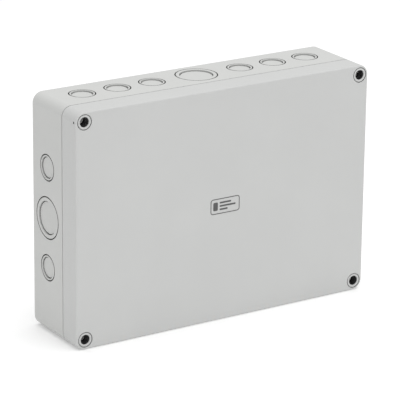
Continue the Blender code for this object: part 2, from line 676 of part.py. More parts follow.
def make_terminals(plastics, brass, steel):
    half = TERMINAL_THICKNESS / 2
    cage = cage_mesh()
    screw = slotted_screw_mesh("clamp_screw", CLAMP_HEAD_RADIUS, CLAMP_HEAD_LOW, CLAMP_HEAD_HEIGHT,
                               CLAMP_SCREW_RADIUS, BAR_TOP + PART_GAP)
    bar_reach = CLAMP_Y + CAGE_LENGTH / 2 - PART_GAP
    bar = block_mesh("bar", (-BAR_WIDTH / 2, -bar_reach, BAR_LOW), (BAR_WIDTH / 2, bar_reach, BAR_TOP))
    for number, name in enumerate(TERMINAL_NAMES):
        x = terminal_x(number)
        solid = across(plate_mesh("terminal", [terminal_outline(name != "earth")], -half, half))
        housing = carved("terminal", solid, terminal_cuts())
        add_part(f"{name}_terminal_housing", housing, plastics[name], (x, 0, RAIL_BACK))
        add_part(f"{name}_current_bar", bar, brass, (x + CAGE_CENTRE_X, 0, RAIL_BACK))
        for side, place in zip(("upper", "lower"), clamp_places()):
            spot = (x + place[0], place[1], RAIL_BACK)
            add_part(f"{name}_{side}_clamp", cage, steel, spot)
            add_part(f"{name}_{side}_clamp_screw", screw, steel, spot)


def row_end():
    """Where the row of terminals ends, to either side of its middle."""
    return terminal_x(len(TERMINAL_NAMES) - 1) + TERMINAL_THICKNESS / 2


def make_row_ends(plastics, zinc):
    """The plate that closes the last terminal's open side, the two end brackets and their screws."""
    plate_low = row_end() + PART_GAP
    plate_high = plate_low + END_PLATE_THICKNESS
    plate = plate_mesh("end_plate", [terminal_outline()], plate_low, plate_high)
    add_part("terminal_end_plate", across(plate), plastics["line_1"], (0, 0, RAIL_BACK))

    left_x = -row_end() - PART_GAP - BRACKET_THICKNESS / 2
    right_x = plate_high + PART_GAP + BRACKET_THICKNESS / 2
    half = BRACKET_THICKNESS / 2
    foot = terminal_outline()[:7]
    outline = two_way(foot + [(BRACKET_HALF_LENGTH, BRACKET_TOP * 0.6), (BRACKET_HALF_LENGTH / 2, BRACKET_TOP),
                              (0, BRACKET_TOP)])
    head_low = BRACKET_TOP - 2 * CLAMP_HEAD_HEIGHT
    well = turned_mesh("bracket_well", [
        (0, BRACKET_TOP + CUT_OVER), (BRACKET_HEAD_RADIUS + WELL_CLEARANCE, BRACKET_TOP + CUT_OVER),
        (BRACKET_HEAD_RADIUS + WELL_CLEARANCE, head_low - PART_GAP),
        (BRACKET_SCREW_RADIUS + PART_GAP, head_low - PART_GAP), (BRACKET_SCREW_RADIUS + PART_GAP, 0), (0, 0)])
    bracket = carved("bracket", across(plate_mesh("bracket", [outline], -half, half)), [well])
    screw = slotted_screw_mesh("bracket_screw", BRACKET_HEAD_RADIUS, head_low, CLAMP_HEAD_HEIGHT,
                               BRACKET_SCREW_RADIUS, RAIL_SHEET + PART_GAP)
    for side, x in (("left", left_x), ("right", right_x)):
        add_part(f"end_bracket_{side}", bracket, plastics["bracket"], (x, 0, RAIL_BACK))
        add_part(f"end_bracket_screw_{side}", screw, zinc, (x, 0, RAIL_BACK))


def make_earth_foot(zinc):
    """The metal foot that ties the earth terminal to the rail."""
    sheet = EARTH_FOOT_SHEET
    floor = RAIL_HEIGHT + PART_GAP
    edge = RAIL_WIDTH / 2 + PART_GAP
    toe = RAIL_HEIGHT - RAIL_SHEET - PART_GAP
    outline = two_way([(0, floor), (edge, floor), (edge, toe), (edge - FOOT_GRIP, toe),
                       (edge - FOOT_GRIP, toe - sheet), (edge + sheet, toe - sheet),
                       (edge + sheet, floor + sheet), (0, floor + sheet)])
    half = TERMINAL_THICKNESS / 2
    x = terminal_x(TERMINAL_NAMES.index("earth"))
    add_part("earth_rail_foot", across(plate_mesh("earth_foot", [outline], -half, half)), zinc,
             (x, 0, RAIL_BACK))


def make_markers(white):
    """One blank marker tag on the ridge of each terminal."""
    width, length, thickness = MARKER_SIZE
    low = TERMINAL_TOP + TERMINAL_RIDGE + PART_GAP
    tag = block_mesh("tag", (-width / 2, -length / 2, low), (width / 2, length / 2, low + thickness))
    for number, name in enumerate(TERMINAL_NAMES):
        add_part(f"{name}_marker", tag, white, (terminal_x(number), 0, RAIL_BACK))


# ---------------------------------------------------------------- the box

def make_box():
    housing = material("housing_plastic", (0.6, 0.605, 0.59), 0.5)
    foam = material("gasket_foam", (0.3, 0.31, 0.32), 0.9)
    steel = material("screw_steel", (0.55, 0.55, 0.56), 0.35, 1.0)
    nylon = material("retainer_nylon", (0.85, 0.84, 0.8), 0.45)
    zinc = material("zinc_steel", (0.6, 0.62, 0.64), 0.4, 1.0)
    brass = material("contact_brass", (0.75, 0.6, 0.3), 0.35, 1.0)
    beige = material("terminal_plastic", (0.62, 0.58, 0.47), 0.5)
    plastics = {
        "line_1": beige, "line_2": beige, "line_3": beige,
        "neutral": material("neutral_plastic", (0.05, 0.2, 0.6), 0.5),
        "earth": material("earth_plastic", (0.35, 0.55, 0.08), 0.5),
        "bracket": material("bracket_plastic", (0.25, 0.25, 0.26), 0.55),
    }
    make_base(housing)
    make_lid(housing)
    make_gasket(foam)
    make_lid_screws(steel, nylon)
    make_rail(zinc)
    make_terminals(plastics, brass, steel)
    make_row_ends(plastics, zinc)
    make_earth_foot(zinc)
    make_markers(material("marker_plastic", (0.85, 0.85, 0.82), 0.5))


for leftover in list(bpy.data.objects):
    bpy.data.objects.remove(leftover)
parts = bpy.data.collections.new("junction_box")
cutters = bpy.data.collections.new("cutters")
for collection in (parts, cutters):
    bpy.context.scene.collection.children.link(collection)
stand = bpy.data.objects.new("stand", None)
parts.objects.link(stand)
stand.location = (0, BOX_DEPTH / 2, BOX_HEIGHT / 2)
stand.rotation_euler = (math.pi / 2, 0, 0)
make_box()
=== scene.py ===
"""The looks of the wall-mounting electrical junction box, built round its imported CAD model.

The shells are modelled in the box's own design coordinates: X along the width, Y up the height and Z
out from the wall, in millimetres, with the origin in the middle of the back. to_row() moves them into
the frame of the CAD model.
"""

import math

import bmesh
import bpy
from mathutils import Matrix, Vector


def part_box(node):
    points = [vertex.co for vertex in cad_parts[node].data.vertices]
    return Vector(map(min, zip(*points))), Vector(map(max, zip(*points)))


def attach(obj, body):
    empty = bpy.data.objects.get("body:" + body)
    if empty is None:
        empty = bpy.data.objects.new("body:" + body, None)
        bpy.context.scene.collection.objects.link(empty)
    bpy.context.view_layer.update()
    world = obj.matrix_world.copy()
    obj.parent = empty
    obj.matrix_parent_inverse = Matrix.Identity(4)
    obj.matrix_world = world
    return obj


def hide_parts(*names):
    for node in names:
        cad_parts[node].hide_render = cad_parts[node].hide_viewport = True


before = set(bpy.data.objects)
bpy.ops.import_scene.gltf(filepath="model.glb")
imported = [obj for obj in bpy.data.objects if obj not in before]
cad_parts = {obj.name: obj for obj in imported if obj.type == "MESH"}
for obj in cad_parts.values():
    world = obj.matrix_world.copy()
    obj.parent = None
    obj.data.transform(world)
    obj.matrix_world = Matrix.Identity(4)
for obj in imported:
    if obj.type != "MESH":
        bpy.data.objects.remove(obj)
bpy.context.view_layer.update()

MM = 0.001

# ---------------------------------------------------------------- sizes, from the frame where it has them
base_low, base_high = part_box("base_housing")
lid_low, lid_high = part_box("lid")
BACK_Y = base_high.y
MIDDLE_Z = (base_low.z + base_high.z) / 2
WIDTH = (base_high.x - base_low.x) / MM
HEIGHT = (base_high.z - base_low.z) / MM
DEPTH = (base_high.y - lid_low.y) / MM
GAP = 0.3
SEAM = (BACK_Y - lid_high.y) / MM - GAP
TONGUE_TOP = (BACK_Y - base_low.y) / MM

CORNER_RADIUS = 8
WALL = 3
BACK_WALL = 3
LID_FRONT = 2.8
BACK_EDGE = 1.2
FRONT_EDGE = 1.3
SEAM_EDGE = 0.1
SEAM_GAP = 0.75  # the visible joint between the base and the lid
COLUMN_WIDTH = 15
COLUMN_HEIGHT = 26.5
COLUMN_CORNER_RADIUS = 5
COLUMN_FILLET = 3
SCREW_INSET = 7.5
WALL_HOLE_STEP = 11.5
TONGUE_THICKNESS = 1.4
GASKET_HEIGHT = 2
RIB_THICKNESS = 1.4
RIB_DEPTH = 5
CHANNEL_TOP = TONGUE_TOP + GAP + GASKET_HEIGHT + GAP
OVER = 3  # how far a cutter runs past the face that it opens
SMOOTH_ANGLE = 35  # degrees, and sharper edges than this stay sharp

# Knock-outs: the places of their middles along the walls, and the radii of their two rings
LONG_PLACES = (38.5, 68, 97.5)
SHORT_PLACES = (38.5,)
SMALL_RINGS = (10.25, 8.25)
LARGE_RINGS = (16.25, 12.75)

# Bosses on the back wall: four for a mounting plate and two for the rail
PLATE_BOSS_INSET = (37, 30)
RAIL_BOSS_X = 87.5

# Lid screws, in their wells
HEAD_TOP = DEPTH - 7
HEAD_LOW = HEAD_TOP - 3
SCREW_TIP_Z = SEAM - 6
THREAD_PITCH = 2  # the same as the coupling of the screw's turn and travel
WELL_RADIUS = 3.75

# The label's outer size
LABEL_WIDTH, LABEL_HEIGHT = 25.5, 12


def to_row(mesh):
    """Takes a mesh from the design's millimetres to the CAD model's frame."""
    stand_up = Matrix.Translation((0, BACK_Y, MIDDLE_Z)) @ Matrix.Rotation(math.pi / 2, 4, "X")
    mesh.transform(stand_up @ Matrix.Scale(MM, 4))
    return mesh


# ---------------------------------------------------------------- outlines

def arc(centre_x, centre_y, radius, start, end, steps):
    """Points on an arc, with its angles in degrees."""
    points = []
    for step in range(steps + 1):
        angle = math.radians(start + (end - start) * step / steps)
        points.append((centre_x + radius * math.cos(angle), centre_y + radius * math.sin(angle)))
    return points


def four_way(quarter):
    """A closed outline from its points in the first quadrant, from the X side to the Y side."""
    left = [(-x, y) for x, y in reversed(quarter)]
    below = [(-x, -y) for x, y in quarter]
    right = [(x, -y) for x, y in reversed(quarter)]
    return quarter + left + below + right


def rounded_rectangle(width, height, radius, inset=0.0, steps=12):
    x, y = width / 2 - radius, height / 2 - radius
    return four_way(arc(x, y, radius - inset, 0, 90, steps))


def box_outline(inset):
    return rounded_rectangle(WIDTH, HEIGHT, CORNER_RADIUS, inset, 14)


def sealed_outline(inset):
    """The sealed space, which passes inside the four corner columns, drawn in by an inset."""
    right = WIDTH / 2 - WALL - inset
    top = HEIGHT / 2 - WALL - inset
    column_x = WIDTH / 2 - COLUMN_WIDTH - inset
    column_y = HEIGHT / 2 - COLUMN_HEIGHT - inset
    fillet = COLUMN_FILLET - inset
    bulge = COLUMN_CORNER_RADIUS + inset
    quarter = arc(right - fillet, column_y - fillet, fillet, 0, 90, 8)
    quarter += arc(column_x + bulge, column_y + bulge, bulge, 270, 180, 8)
    quarter += arc(column_x - fillet, top - fillet, fillet, 0, 90, 8)
    return four_way(quarter)


# ---------------------------------------------------------------- meshes

def new_mesh(name, work):
    """Closes a bmesh and returns it as a mesh with its faces turned outwards."""
    bmesh.ops.recalc_face_normals(work, faces=work.faces)
    mesh = bpy.data.meshes.new(name)
    work.to_mesh(mesh)
    work.free()
    return mesh


def lofted(name, levels):
    """A solid through outlines at rising heights, which all have the same number of points."""
    work = bmesh.new()
    rings = [[work.verts.new((x, y, z)) for x, y in points] for points, z in levels]
    for lower, upper in zip(rings, rings[1:]):
        for i in range(len(lower)):
            j = (i + 1) % len(lower)
            work.faces.new((lower[i], lower[j], upper[j], upper[i]))
    work.faces.new(rings[0][::-1])
    work.faces.new(rings[-1])
    return new_mesh(name, work)


def plate(name, points, low, high):
    return lofted(name, [(points, low), (points, high)])


def turned(name, profile, steps=48):
    """A solid of revolution round Z. A profile that doesn't start on the axis is a closed loop."""
    work = bmesh.new()
    closed = profile[0][0] > 0
    rows = []
    for radius, z in profile:
        if radius == 0:
            rows.append([work.verts.new((0, 0, z))] * steps)
            continue
        row = []
        for step in range(steps):
            angle = 2 * math.pi * step / steps
            row.append(work.verts.new((radius * math.cos(angle), radius * math.sin(angle), z)))
        rows.append(row)
    pairs = list(zip(rows, rows[1:]))
    if closed:
        pairs.append((rows[-1], rows[0]))
    for a, b in pairs:
        for i in range(steps):
            j = (i + 1) % steps
            corners = []
            for vert in (a[i], a[j], b[j], b[i]):
                if vert not in corners:
                    corners.append(vert)
            if len(corners) > 2:
                work.faces.new(corners)
    return new_mesh(name, work)


def placed(name, items):
    """Copies of meshes as separate bodies of one mesh. Each item is a mesh and its matrix."""
    work = bmesh.new()
    for mesh, matrix in items:
        copy = mesh.copy()
        copy.transform(matrix)
        work.from_mesh(copy)
        bpy.data.meshes.remove(copy)
    made = bpy.data.meshes.new(name)
    work.to_mesh(made)
    work.free()
    return made


def combined(name, mesh, steps):
    """A mesh after a list of Boolean steps, each an operation and another mesh."""
    target = bpy.data.objects.new(name, mesh)
    bpy.context.scene.collection.objects.link(target)
    helpers = []
    for operation, other in steps:
        helper = bpy.data.objects.new("helper", other)
        bpy.context.scene.collection.objects.link(helper)
        modifier = target.modifiers.new("step", "BOOLEAN")
        modifier.operation = operation
        modifier.solver = "EXACT"
        modifier.object = helper
        helpers.append(helper)
    bpy.context.view_layer.update()
    graph = bpy.context.evaluated_depsgraph_get()
    made = bpy.data.meshes.new_from_object(target.evaluated_get(graph))
    made.name = name
    for obj in helpers + [target]:
        bpy.data.objects.remove(obj)
    return made


def shade(mesh):
    mesh.shade_smooth()
    mesh.set_sharp_from_angle(angle=math.radians(SMOOTH_ANGLE))


def add_piece(name, mesh, look, body, instead_of=None):
    """One finished piece of the visual model, riding on its CAD body."""
    shade(mesh)
    mesh.materials.clear()
    mesh.materials.append(look)
    obj = bpy.data.objects.new(name, mesh)
    bpy.context.scene.collection.objects.link(obj)
    weighted = obj.modifiers.new("weighted_normals", "WEIGHTED_NORMAL")
    weighted.keep_sharp = True
    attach(obj, body)
    if instead_of:
        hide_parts(instead_of)


# ---------------------------------------------------------------- housing shells

def edge_levels(outline, low, high, low_round, high_round, steps=5):
    """Levels for lofted(): an upright solid with both its rims rounded."""
    levels = []
    for step in range(steps + 1):
        angle = math.pi / 2 * step / steps
        levels.append((outline(low_round * (1 - math.sin(angle))), low + low_round * (1 - math.cos(angle))))
    for step in range(steps + 1):
        angle = math.pi / 2 * step / steps
        levels.append((outline(high_round * (1 - math.cos(angle))),
                       high - high_round * (1 - math.sin(angle))))
    return levels


def knockout_cutters(radii, steps):
    """One knock-out's cutters: a groove for the outer ring, and a shallow dish with a groove at its
    rim for the inner one. Z points out of the wall."""
    outer, inner = radii
    outer_groove, inner_groove, depth, mouth, dish = 0.92, 0.75, 1.9, 0.05, 1.0
    edge = outer - outer_groove
    outer_cut = turned("outer_ring", [
        (outer + mouth, OVER), (outer + mouth, 0), (outer, -mouth), (outer, -depth), (edge, -depth),
        (edge, -mouth), (edge - mouth, 0), (edge - mouth, OVER)], steps)
    edge = inner - inner_groove
    inner_cut = turned("inner_ring", [
        (0, OVER), (inner + mouth, OVER), (inner + mouth, 0), (inner, -mouth), (inner, -depth),
        (edge, -depth), (edge, -dish - mouth), (edge - mouth, -dish), (0, -dish)], steps)
    return outer_cut, inner_cut


def wall_cutter(name, places, matrix):
    """The cutters of one wall's knock-outs, laid out along X with Z out of the wall."""
    spots = [(0, LARGE_RINGS, 72)]
    for place in places:
        spots += [(side * place, SMALL_RINGS, 48) for side in (-1, 1)]
    items = []
    for x, radii, steps in spots:
        for cutter in knockout_cutters(radii, steps):
            items.append((cutter, matrix @ Matrix.Translation((x, 0, 0))))
    return placed(name, items)


def wall_matrices():
    """Where each side wall's own frame lies: X along the wall and Z out of it."""
    middle = SEAM / 2
    quarter = math.pi / 2
    right, top = WIDTH / 2, HEIGHT / 2
    return {
        "top": Matrix.Translation((0, top, middle)) @ Matrix.Rotation(-quarter, 4, "X"),
        "bottom": Matrix.Translation((0, -top, middle)) @ Matrix.Rotation(quarter, 4, "X"),
        "right": Matrix.Translation((right, 0, middle)) @ Matrix.Rotation(quarter, 4, "Z")
        @ Matrix.Rotation(quarter, 4, "X"),
        "left": Matrix.Translation((-right, 0, middle)) @ Matrix.Rotation(-quarter, 4, "Z")
        @ Matrix.Rotation(quarter, 4, "X"),
    }


def corner_places(inset_x, inset_y):
    x, y = WIDTH / 2 - inset_x, HEIGHT / 2 - inset_y
    return {"top_left": (-x, y), "top_right": (x, y), "bottom_left": (-x, -y), "bottom_right": (x, -y)}


def at_places(name, mesh, places):
    return placed(name, [(mesh, Matrix.Translation((x, y, 0))) for x, y in places])


def base_mesh():
    solid = lofted("base", edge_levels(box_outline, 0, SEAM, BACK_EDGE, SEAM_EDGE))
    tongue_top = edge_levels(lambda inset: sealed_outline(inset - TONGUE_THICKNESS),
                             SEAM - OVER, TONGUE_TOP, 0.01, 0.3, 3)
    steps = [("UNION", lofted("tongue", tongue_top))]
    steps.append(("DIFFERENCE", plate("inside", sealed_outline(0), BACK_WALL, TONGUE_TOP + OVER)))

    boss_spots = list(corner_places(*PLATE_BOSS_INSET).values())
    boss_spots += [(-RAIL_BOSS_X, 0), (RAIL_BOSS_X, 0)]
    boss = turned("boss", [(0, 1.5), (4.6, 1.5), (4.6, 3), (4.0, 3.6), (4.0, 6.8), (3.8, 7), (0, 7)], 32)
    steps.append(("UNION", at_places("bosses", boss, boss_spots)))
    pilot = turned("pilot", [(0, 1.2), (2.2, 1.2), (2.2, 6.7), (2.5, 7), (2.5, 10), (0, 10)], 24)
    steps.append(("DIFFERENCE", at_places("pilots", pilot, boss_spots)))

    screw_hole = turned("screw_hole", [(0, 35.5), (2.4, 35.5), (2.4, SEAM - 0.4), (2.8, SEAM),
                                       (2.8, SEAM + OVER), (0, SEAM + OVER)], 32)
    screws = corner_places(SCREW_INSET, SCREW_INSET).values()
    steps.append(("DIFFERENCE", at_places("screw_holes", screw_hole, screws)))
    wall_hole = turned("wall_hole", [
        (0, -OVER), (2.75, -OVER), (2.75, 0), (2.25, 0.5), (2.25, 5), (3.9, 5), (3.9, SEAM - 0.4),
        (4.3, SEAM), (4.3, SEAM + OVER), (0, SEAM + OVER)], 40)
    wall_holes = list(corner_places(SCREW_INSET, SCREW_INSET + WALL_HOLE_STEP).values())
    steps.append(("DIFFERENCE", at_places("wall_holes", wall_hole, wall_holes)))

    walls = wall_matrices()
    for side, places in (("top", LONG_PLACES), ("bottom", LONG_PLACES),
                         ("left", SHORT_PLACES), ("right", SHORT_PLACES)):
        steps.append(("DIFFERENCE", wall_cutter(f"knockouts_{side}", places, walls[side])))

    # The middle of the back is sunk a little, so that the box stands on its rim and its four corner pads
    relief = lofted("back_relief", [(sealed_outline(2.0), -1), (sealed_outline(2.0), 0),
                                    (sealed_outline(2.4), 0.5)])
    steps.append(("DIFFERENCE", relief))
    # Marks of the ejector pins and of the gate, which a moulded back shows
    pin = turned("pin_mark", [(0, -1), (3.2, -1), (3.1, 0.65), (0, 0.65)], 32)
    pins = [(x, y) for x in (-78, -26, 26, 78) for y in (-42, 42)]
    steps.append(("DIFFERENCE", at_places("pin_marks", pin, pins)))
    gate = turned("gate_mark", [(0, -1), (3.8, -1), (2.4, 1.0), (0, 1.0)], 32)
    steps.append(("DIFFERENCE", gate))
    return to_row(combined("base_shell", solid, steps))


def well_cutter():
    """A lid screw's well, its rounded collar and the groove round it, as one turned cutter."""
    top, bore = DEPTH, WELL_RADIUS
    collar_in, collar_out, groove_out = bore, 5.35, 5.95
    seat = HEAD_LOW - GAP
    web_low = seat - 1.8
    profile = [(0, top + OVER), (groove_out + 0.1, top + OVER), (groove_out + 0.1, top),
               (groove_out, top - 0.1), (groove_out - 0.05, top - 0.9), (collar_out + 0.05, top - 0.9)]
    middle, half = (collar_in + collar_out) / 2, (collar_out - collar_in) / 2
    for step in range(9):
        angle = math.pi * (0.06 + 0.88 * step / 8)
        profile.append((middle + half * math.cos(angle), top - 0.55 + 0.5 * math.sin(angle)))
    profile += [(bore, top - 1.2), (bore, seat), (2.4, seat), (2.4, web_low), (3.5, web_low),
                (3.5, SEAM - OVER), (0, SEAM - OVER)]
    return turned("screw_well", profile, 56)


def lid_mesh():
    low = SEAM + SEAM_GAP
    solid = lofted("lid", edge_levels(box_outline, low, DEPTH, SEAM_EDGE, FRONT_EDGE, 6))
    below = SEAM - OVER
    channel = combined("channel", plate("channel", sealed_outline(-TONGUE_THICKNESS - GAP), below,
                                        CHANNEL_TOP),
                       [("DIFFERENCE", plate("rib", sealed_outline(GAP), below - 1, CHANNEL_TOP + 1))])
    steps = [("DIFFERENCE", channel)]
    rib_low = CHANNEL_TOP - RIB_DEPTH
    steps.append(("DIFFERENCE", plate("rib_edge", sealed_outline(-TONGUE_THICKNESS / 2), below, rib_low)))
    steps.append(("DIFFERENCE", plate("inside", sealed_outline(GAP + RIB_THICKNESS), below,
                                      DEPTH - LID_FRONT)))
    screws = corner_places(SCREW_INSET, SCREW_INSET)
    steps.append(("DIFFERENCE", at_places("screw_wells", well_cutter(), screws.values())))
    pocket = turned("pocket", [(0, below), (3.9, below), (3.9, DEPTH - LID_FRONT),
                               (0, DEPTH - LID_FRONT)], 40)
    pockets = corner_places(SCREW_INSET, SCREW_INSET + WALL_HOLE_STEP).values()
    steps.append(("DIFFERENCE", at_places("pockets", pocket, pockets)))
    for corner, side in (("top_left", -1), ("bottom_right", 1)):
        x, y = screws[corner]
        hole = turned("seal_hole", [(0, 0), (0.9, 0), (0.9, SCREW_INSET - 0.2),
                                    (1.2, SCREW_INSET + 0.1), (1.2, SCREW_INSET + OVER),
                                    (0, SCREW_INSET + OVER)], 24)
        matrix = Matrix.Translation((x, y, DEPTH - 2.8)) @ Matrix.Rotation(side * math.pi / 2, 4, "Y")
        steps.append(("DIFFERENCE", placed("seal_hole", [(hole, matrix)])))
    return to_row(combined("lid_shell", solid, steps))


# ---------------------------------------------------------------- lid screws

def cross(length, width):
    """A cross-shaped outline with slightly tapered arms."""
    half, arm, root = length / 2, width / 2 * 0.8, width / 2 * 1.25
    quarter = [(half, 0), (half, arm), (root, root), (arm, half), (0, half)]
    return four_way(quarter[1:-1])


def threaded_shank(name, low, high, radius, depth, pitch, around=28):
    """A shank with a real helical thread that fades in over its tip and out into its neck."""
    work = bmesh.new()
    per_turn = 14
    rows = int(math.ceil((high - low) / pitch * per_turn))
    rings = []
    for row in range(rows + 1):
        z = low + (high - low) * row / rows
        fade = min(1.0, (z - low) / 1.2, max(0.0, (high - 1.5 - z) / 1.0))
        taper = min(1.0, 0.45 + (z - low) / 1.6)
        ring = []
        for step in range(around):
            angle = 2 * math.pi * step / around
            phase = ((z - low) / pitch - step / around) % 1.0
            flank = max(0.0, 1 - abs(phase - 0.5) / 0.34)
            here = (radius - depth + depth * flank * max(0.0, fade)) * taper
            ring.append(work.verts.new((here * math.cos(angle), here * math.sin(angle), z)))
        rings.append(ring)
    for lower, upper in zip(rings, rings[1:]):
        for i in range(around):
            j = (i + 1) % around
            work.faces.new((lower[i], lower[j], upper[j], upper[i]))
    work.faces.new(rings[0][::-1])
    work.faces.new(rings[-1])
    return new_mesh(name, work)


def lid_screw_mesh():
    head = turned("screw_head", [
        (0, HEAD_TOP - 0.1), (2.6, HEAD_TOP), (3.0, HEAD_TOP - 0.08), (3.28, HEAD_TOP - 0.3),
        (3.4, HEAD_TOP - 0.6), (3.4, HEAD_LOW + 0.25), (3.15, HEAD_LOW), (2.2, HEAD_LOW),
        (1.9, HEAD_LOW - 0.3), (1.5, HEAD_LOW - 0.6), (0, HEAD_LOW - 0.6)], 40)
    recess = lofted("recess", [(cross(2.6, 0.7), HEAD_TOP - 1.8), (cross(4.2, 1.0), HEAD_TOP - 0.25),
                               (cross(4.8, 1.3), HEAD_TOP + 0.3)])
    socket = turned("socket", [(0, HEAD_TOP - 2.1), (0.9, HEAD_TOP - 1.3), (1.25, HEAD_TOP - 0.2),
                               (1.5, HEAD_TOP + 0.3), (0, HEAD_TOP + 0.3)], 24)
    shank = threaded_shank("screw_shank", SCREW_TIP_Z, HEAD_LOW - 0.2, 2.0, 0.42, THREAD_PITCH)
    return combined("lid_screw", head, [("UNION", shank), ("DIFFERENCE", recess),
                                        ("DIFFERENCE", socket)])


def well_shade_sleeve_mesh():
    """A thin near-black sleeve inside a lid screw's well: painted shade, which makes the well look dark."""
    low, high = HEAD_LOW - GAP, DEPTH - 0.75
    inner, outer = WELL_RADIUS - 0.25, WELL_RADIUS - 0.03
    return turned("well_shade_sleeve", [(inner, low), (outer, low), (outer, high - 0.1), (outer - 0.06, high),
                                 (inner + 0.06, high), (inner, high - 0.1)], 48)


# ---------------------------------------------------------------- label

def label_mesh():
    """A plain relief in the middle of the lid: a rounded frame with a pattern of bars in it."""
    low, high = DEPTH - 0.3, DEPTH + 0.12
    soft = 0.08

    def raised(name, outline):
        return lofted(name, [(outline(0), low), (outline(0), high - soft), (outline(soft), high)])

    def bar(name, x, y, width, height, radius):
        def outline(inset):
            return [(x + px, y + py) for px, py in rounded_rectangle(width, height, radius, inset, 4)]
        return raised(name, outline)

    window = rounded_rectangle(LABEL_WIDTH - 1.2, LABEL_HEIGHT - 1.2, 1.6, 0, 8)
    parts = [combined("label_rim", bar("outer", 0, 0, LABEL_WIDTH, LABEL_HEIGHT, 2.2),
                      [("DIFFERENCE", plate("window", window, low - 1, high + 1))])]
    longest, middle = 14, 2.2
    for y, length in ((2.6, 10), (0, longest), (-2.6, 7)):
        parts.append(bar("bar", middle - (longest - length) / 2, y, length, 1.3, 0.5))
    parts.append(bar("block", -8.4, 0, 4, 6.5, 0.9))
    return to_row(placed("label", [(part, Matrix.Identity(4)) for part in parts]))


# ---------------------------------------------------------------- materials

def node_material(name):
    made = bpy.data.materials.new(name)
    made.use_nodes = True
    tree = made.node_tree
    shader = tree.nodes["Principled BSDF"]
    return made, tree, shader


def link(tree, out_socket, in_socket):
    tree.links.new(out_socket, in_socket)


def coordinates(tree, stretch=(1, 1, 1)):
    """Object coordinates in metres, stretched along an axis for brushed or rolled metals."""
    source = tree.nodes.new("ShaderNodeTexCoord")
    mapping = tree.nodes.new("ShaderNodeMapping")
    mapping.inputs["Scale"].default_value = stretch
    link(tree, source.outputs["Object"], mapping.inputs["Vector"])
    return mapping.outputs["Vector"]


def noise(tree, vector, size_mm, detail=2.0, roughness=0.5):
    """Noise with features of about the given size."""
    made = tree.nodes.new("ShaderNodeTexNoise")
    made.inputs["Scale"].default_value = 1 / (size_mm * MM)
    made.inputs["Detail"].default_value = detail
    made.inputs["Roughness"].default_value = roughness
    link(tree, vector, made.inputs["Vector"])
    return made.outputs["Fac"]


def ramp(tree, source, stops):
    made = tree.nodes.new("ShaderNodeValToRGB")
    elements = made.color_ramp.elements
    while len(elements) < len(stops):
        elements.new(0.5)
    for element, (position, colour) in zip(elements, stops):
        element.position = position
        element.color = (*colour, 1)
    link(tree, source, made.inputs["Fac"])
    return made.outputs["Color"]


def grey(value):
    return (value, value, value)


def mixed(tree, factor, first, second, mode="MIX"):
    made = tree.nodes.new("ShaderNodeMix")
    made.data_type = "RGBA"
    made.blend_type = mode
    for value, socket in ((factor, made.inputs["Factor"]), (first, made.inputs["A"]),
                          (second, made.inputs["B"])):
        if isinstance(value, bpy.types.NodeSocket):
            link(tree, value, socket)
        elif isinstance(value, tuple):
            socket.default_value = (*value, 1)
        else:
            socket.default_value = value
    return made.outputs["Result"]


def edge_mask(tree, radius_mm):
    """White on convex and concave edges: where a bevelled normal leaves the true one."""
    bevel = tree.nodes.new("ShaderNodeBevel")
    bevel.samples = 6
    bevel.inputs["Radius"].default_value = radius_mm * MM
    geometry = tree.nodes.new("ShaderNodeNewGeometry")
    dot = tree.nodes.new("ShaderNodeVectorMath")
    dot.operation = "DOT_PRODUCT"
    link(tree, bevel.outputs["Normal"], dot.inputs[0])
    link(tree, geometry.outputs["Normal"], dot.inputs[1])
    return ramp(tree, dot.outputs["Value"], [(0.86, grey(1)), (0.995, grey(0))])


def recess_shade_mask(tree, reach_mm=3.5):
    """White deep in grooves and holes, where little light comes back: the mask of a painted shade."""
    hidden = tree.nodes.new("ShaderNodeAmbientOcclusion")
    hidden.samples = 8
    hidden.only_local = True
    hidden.inputs["Distance"].default_value = reach_mm * MM
    return ramp(tree, hidden.outputs["AO"], [(0.2, grey(1)), (0.52, grey(0))])


def bump(tree, shader, *layers):
    """Stacks bump layers, each a height, a distance in millimetres and a strength."""
    normal = None
    for height, distance_mm, strength in layers:
        made = tree.nodes.new("ShaderNodeBump")
        made.inputs["Strength"].default_value = strength
        made.inputs["Distance"].default_value = distance_mm * MM
        link(tree, height, made.inputs["Height"])
        if normal is not None:
            link(tree, normal, made.inputs["Normal"])
        normal = made.outputs["Normal"]
    link(tree, normal, shader.inputs["Normal"])


